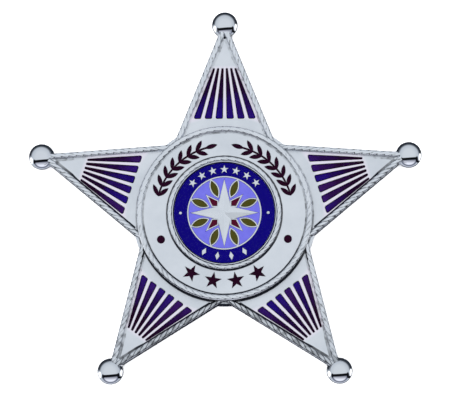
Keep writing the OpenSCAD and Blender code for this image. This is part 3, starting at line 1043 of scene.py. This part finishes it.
def makeInlay(name, nodeNames, material):
    bm = newShape()
    for node in nodeNames:
        low, high = (corner.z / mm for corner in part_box(node))
        top = high - inlay["sink"]
        for solid, holes in figuresAt(node, high):
            rims = []
            for loop in (solid, *holes):
                rims.append(offsetLoop(loop, -inlay["rimWidth"]))
                rings = addLoops(bm, [
                    [(*p, low) for p in loop],
                    [(*p, top - inlay["rimDepth"]) for p in loop],
                    [(*p, top) for p in rims[-1]],
                ])
                tag(bm, rings[0] + rings[1], "rim", 1)
            addFlat(bm, top, rims[0], flipped(rims[1:]))
            addFlat(bm, low, solid, flipped(holes))
    return finishPiece(bm, name, material)


rayEnamelPiece, rayNames = makeRays()
inlays = {
    "garlandEnamel": (["garland_left", "garland_right"], panelMaroon, "dark_enamel"),
    "lowStarEnamel": (["low_star_1", "low_star_2", "low_star_3", "low_star_4"], panelMaroon, "dark_enamel"),
    "sideDotEnamel": (["side_dot_left", "side_dot_right"], panelMaroon, "dark_enamel"),
    "blueRingEnamel": (["blue_ring"], ringBlue, "blue_enamel"),
    "roseGroundEnamel": (["rose_ground"], skyBlue, "sky_enamel"),
    "shortPointEnamel": (["short_points"], pointMaroon, "maroon_enamel"),
    "smallLeafEnamel": (["small_leaves"], leafOlive, "olive_enamel"),
}
inlayPieces = {name: makeInlay(name, nodes, material) for name, (nodes, material, _) in inlays.items()}
print("enamel laid")

pin = {
    "flatWithin": 1,  # degrees under which CAD triangles become one face
    "smooth": 30,
    "soft": 0.12,
    "softSteps": 3,
    "softOver": 35,  # degrees over which an edge is softened
}


def makePin():
    bm = nodeShape("pin_back")
    bmesh.ops.dissolve_limit(bm, angle_limit=math.radians(pin["flatWithin"]), verts=bm.verts, edges=bm.edges)
    piece = finishPiece(bm, "pinBack", pinSteel, pin["smooth"])
    bevel = piece.modifiers.new("softEdges", "BEVEL")
    bevel.width = pin["soft"] * mm
    bevel.segments = pin["softSteps"]
    bevel.limit_method = "ANGLE"
    bevel.angle_limit = math.radians(pin["softOver"])
    bevel.harden_normals = True
    return piece


seal = {
    "radius": 10.11,
    "foot": 2.44,
    "face": 3.55,
    "lipTop": 3.9,
    "lipFlat": 0.18,
    "lipSoft": (0.1, 0.1, 0.05),  # foot, outer and inner edge
    "lipBright": 0.02,  # what the patina and painted shade leave free beside the flat
    "blueOut": 9.76,
    "floor": 3.2,
    "root": 0.1,  # how far raised metal runs into what carries it
    "edge": 0.03,
    "roseTip": 6.17,
    "roseWaist": 1.7,
    "roseTop": 4.0,
    "roseFoot": 0.012,  # height of the rose's rim over the face
    "roseCorners": 8,
    "smooth": 30,
    "around": 240,
}


def addRaised(bm, outline, holes):
    # a metal line or figure that stands up from the enamel's floor, with softened edges
    low, top, edge = seal["floor"] - seal["root"], seal["face"], seal["edge"]
    steps = [(0, low), (0, top - edge), (-bevelMiddle * edge, top - bevelMiddle * edge), (-edge, top)]
    rims = []
    for loop in (outline, *holes):
        loops = [[(*p, z) for p in offsetLoop(loop, grow)] for grow, z in steps]
        addLoops(bm, loops)
        rims.append(loops[-1])
    addFlat(bm, top, rims[0], flipped(rims[1:]))
    addFlat(bm, low, outline, flipped(holes))


def makeSeal():
    bm = newShape()
    radius, blueOut, around = seal["radius"], seal["blueOut"], seal["around"]
    flatIn = radius - seal["lipFlat"]
    corners = ((radius, seal["foot"]), (radius, seal["lipTop"]), (flatIn, seal["lipTop"]))
    profile = softProfile([(*corner, soft) for corner, soft in zip(corners, seal["lipSoft"])]
                          + [(blueOut, seal["face"], 0), (blueOut, seal["floor"], 0)])

    # patina and painted shade on the slope of the lip, stronger towards the foot
    def lipGroove(r, z, spot):
        return 0 if r > flatIn + seal["lipBright"] else max(patinaAndShade["lip"], patinaAndShadeAt(spot))

    lathe(bm, profile, around, lipGroove)
    addFlat(bm, seal["floor"], circle(blueOut, around))
    addFlat(bm, seal["foot"], circle(profile[0][0], around))
    figures = figuresAt("seal_disc", seal["face"])
    for outline, holes in figures:
        addRaised(bm, outline, holes)
    print("seal figures", len(figures))
    return finishPiece(bm, "sealMetal", satinSilver, seal["smooth"])


def makeRose():
    # a faceted star whose facets are bright and satin in turn
    bm = bmesh.new()
    count = seal["roseCorners"]
    corners = []
    for k in range(count):
        reach = seal["roseTip"] if k % 2 == 0 else seal["roseWaist"]
        corners.append((reach * math.cos(turn * k / count), reach * math.sin(turn * k / count)))
    peak = bm.verts.new((0, 0, seal["roseTop"]))
    rim = [bm.verts.new((*c, seal["face"] + seal["roseFoot"])) for c in corners]
    foot = [bm.verts.new((*c, seal["face"] - seal["root"])) for c in corners]
    for k in range(count):
        j = (k + 1) % count
        face = bm.faces.new((rim[k], rim[j], peak))
        face.material_index = k % 2
        bm.faces.new((foot[k], foot[j], rim[j], rim[k]))
    bm.faces.new(foot[::-1])
    piece = finishPiece(bm, "sealRose", brightSilver, 0)
    piece.data.materials.append(satinSilver)
    return piece


sealMetal = makeSeal()
sealRose = makeRose()
pinBack = makePin()
print("seal and pin made")

pieces = [(piece, "star_metal", ["star_body"])
          for piece in (starPlate, starBorder, edgeRopes, ringRope, bezelRope, roundPanel, tipBalls)]
pieces.append((rayEnamelPiece, "ray_enamel", rayNames))
pieces += [(inlayPieces[name], slotName, nodes) for name, (nodes, _, slotName) in inlays.items()]
pieces += [(sealMetal, "seal_metal", ["seal_disc"]), (sealRose, "seal_metal", ["seal_disc"]),
           (pinBack, "pin_metal", ["pin_back"])]
for piece, slotName, nodes in pieces:
    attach(piece, "root")
    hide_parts(*nodes)

studio = {
    "floorSize": 8.0,
    "floorTint": (0.93, 0.93, 0.945),
    "floorPale": (0.95, 0.95, 0.96),
    "floorGrain": 300,
    "floorRough": 0.9,
    "floorGloss": 0.1,
    "sun": 5.0,
    "sunFrom": (0.0, -0.10, 1.0),
    "sunSpread": 34,
}


def addFloor():
    half, low = studio["floorSize"] / 2, cadBox[0].z
    corners = [(-half, -half, low), (half, -half, low), (half, half, low), (-half, half, low)]
    mesh = bpy.data.meshes.new("floor")
    mesh.from_pydata(corners, [], [(0, 1, 2, 3)])
    material, tree, shader, coords = newMaterial("paleFloor")
    grain = noise(tree, coords, studio["floorGrain"], 3)
    paper = mixColour(tree, grain, studio["floorTint"], studio["floorPale"])
    feed(tree, paper, shader.inputs["Base Color"])
    shader.inputs["Roughness"].default_value = studio["floorRough"]
    shader.inputs["Specular IOR Level"].default_value = studio["floorGloss"]
    mesh.materials.append(material)
    floor = addObject("floor", mesh)
    floor.visible_glossy = False


# The room round the badge is painted by the place where a polished ball would mirror it:
# across from -1 to 1 left to right, along from -1 to 1 front to back, and reach from the middle.
# A fade is where a colour starts and where it is full; a shape is an ellipse's middle and half sizes.
room = {
    "backdrop": (1.0, 1.0, 1.0),
    "level": (0.80, 0.845, 0.885),  # what the level faces mirror
    "walls": (0.62, 0.67, 0.73),  # what slopes mirror
    "wallsFade": (0.35, 0.80),
    "table": (0.66, 0.69, 0.78),
    "tableFade": (-0.55, -0.85),
    "far": (0.035, 0.042, 0.055),
    "farReach": (0.69, 0.85),
    "farAlong": (-0.10, 0.15),
    "frontFade": (-0.30, -0.34),
    "bowl": (0.20, 0.22, 0.29),
    "bowlShape": (0.02, -0.40, 0.60, 0.46),
    "bowlFade": (1.10, 0.98),
    "sheetTop": (0.26, 0.27, 0.33),
    "sheetFoot": (1.10, 1.12, 1.22),
    "sheetAlong": (-0.36, -0.70),
    "sheetFade": (0.88, 0.76),
    "gap": (0.006, 0.007, 0.010),
    "bandTilt": 0.07,
    "bandTop": (-0.19, -0.23),
    "bandFoot": (-0.43, -0.39),
    "bandShape": (0.04, 0, 0.62, 9),
    "bandFade": (1.04, 0.96),
    "gapShapes": ((-0.55, -0.36, 0.08, 0.17), (0.63, -0.34, 0.09, 0.24), (0.70, -0.50, 0.13, 0.10)),
    "gapFade": (1.12, 0.88),
    "white": (1.7, 1.7, 1.72),
    "whiteShapes": ((-0.80, -0.27, 0.13, 0.24), (0.87, -0.18, 0.10, 0.30)),
    "whiteFade": (1.15, 0.85),
    "under": (0.02, 0.022, 0.028),
    "underFade": (0.93, 0.97),
}


def addWorld():
    world = bpy.data.worlds.new("studio")
    bpy.context.scene.world = world
    world.use_nodes = True
    tree = world.node_tree
    pitch = math.radians(shot["pitch"])
    vector = partial(calc, tree, kind="ShaderNodeVectorMath")
    way = tree.nodes.new("ShaderNodeTexCoord").outputs["Generated"]
    half = vector("NORMALIZE", vector("ADD", way, (0, -math.sin(pitch), math.cos(pitch))))
    across = vector("DOT_PRODUCT", half, (1, 0, 0), output="Value")
    along = vector("DOT_PRODUCT", half, (0, math.cos(pitch), math.sin(pitch)), output="Value")

    def fade(value, name):
        return remap(tree, value, *room[name], smooth=True)

    def ellipse(x, y, rx, ry):
        dx = calc(tree, "DIVIDE", calc(tree, "SUBTRACT", across, x), rx)
        dy = calc(tree, "DIVIDE", calc(tree, "SUBTRACT", along, y), ry)
        return lengthOf(tree, dx, dy)

    reach = ellipse(0, 0, 1, 1)
    bowl, front = ellipse(*room["bowlShape"]), fade(along, "frontFade")
    sheet = mixColour(tree, fade(along, "sheetAlong"), room["sheetTop"], room["sheetFoot"])
    level = calc(tree, "SUBTRACT", along, calc(tree, "MULTIPLY", across, room["bandTilt"]))
    band = [fade(level, "bandTop"), fade(level, "bandFoot"), fade(ellipse(*room["bandShape"]), "bandFade")]
    layers = [
        ([fade(reach, "wallsFade")], room["walls"]),
        ([fade(along, "tableFade")], room["table"]),
        ([fade(reach, "farReach"), fade(along, "farAlong")], room["far"]),
        ([fade(bowl, "bowlFade"), front], room["bowl"]),
        ([fade(bowl, "sheetFade"), front], sheet),
        (band, room["gap"]),
        *[([fade(ellipse(*shape), "gapFade")], room["gap"]) for shape in room["gapShapes"]],
        *[([fade(ellipse(*shape), "whiteFade")], room["white"]) for shape in room["whiteShapes"]],
        ([fade(reach, "underFade")], room["under"]),
    ]
    painted = room["level"]
    for masks, colour in layers:
        share = masks[0]
        for mask in masks[1:]:
            share = calc(tree, "MULTIPLY", share, mask)
        painted = mixColour(tree, share, painted, colour)
    seen = tree.nodes.new("ShaderNodeLightPath").outputs["Is Camera Ray"]
    feed(tree, mixColour(tree, seen, painted, room["backdrop"]), tree.nodes["Background"].inputs["Color"])


def addSun():
    data = bpy.data.lights.new("softSun", "SUN")
    data.energy = studio["sun"]
    data.angle = math.radians(studio["sunSpread"])
    sun = addObject("softSun", data)
    sun.matrix_world = Vector(studio["sunFrom"]).to_track_quat("Z", "Y").to_matrix().to_4x4()
    sun.visible_glossy = False


addFloor()
addWorld()
addSun()
bpy.context.scene.view_settings.view_transform = "Standard"
print("studio lit")
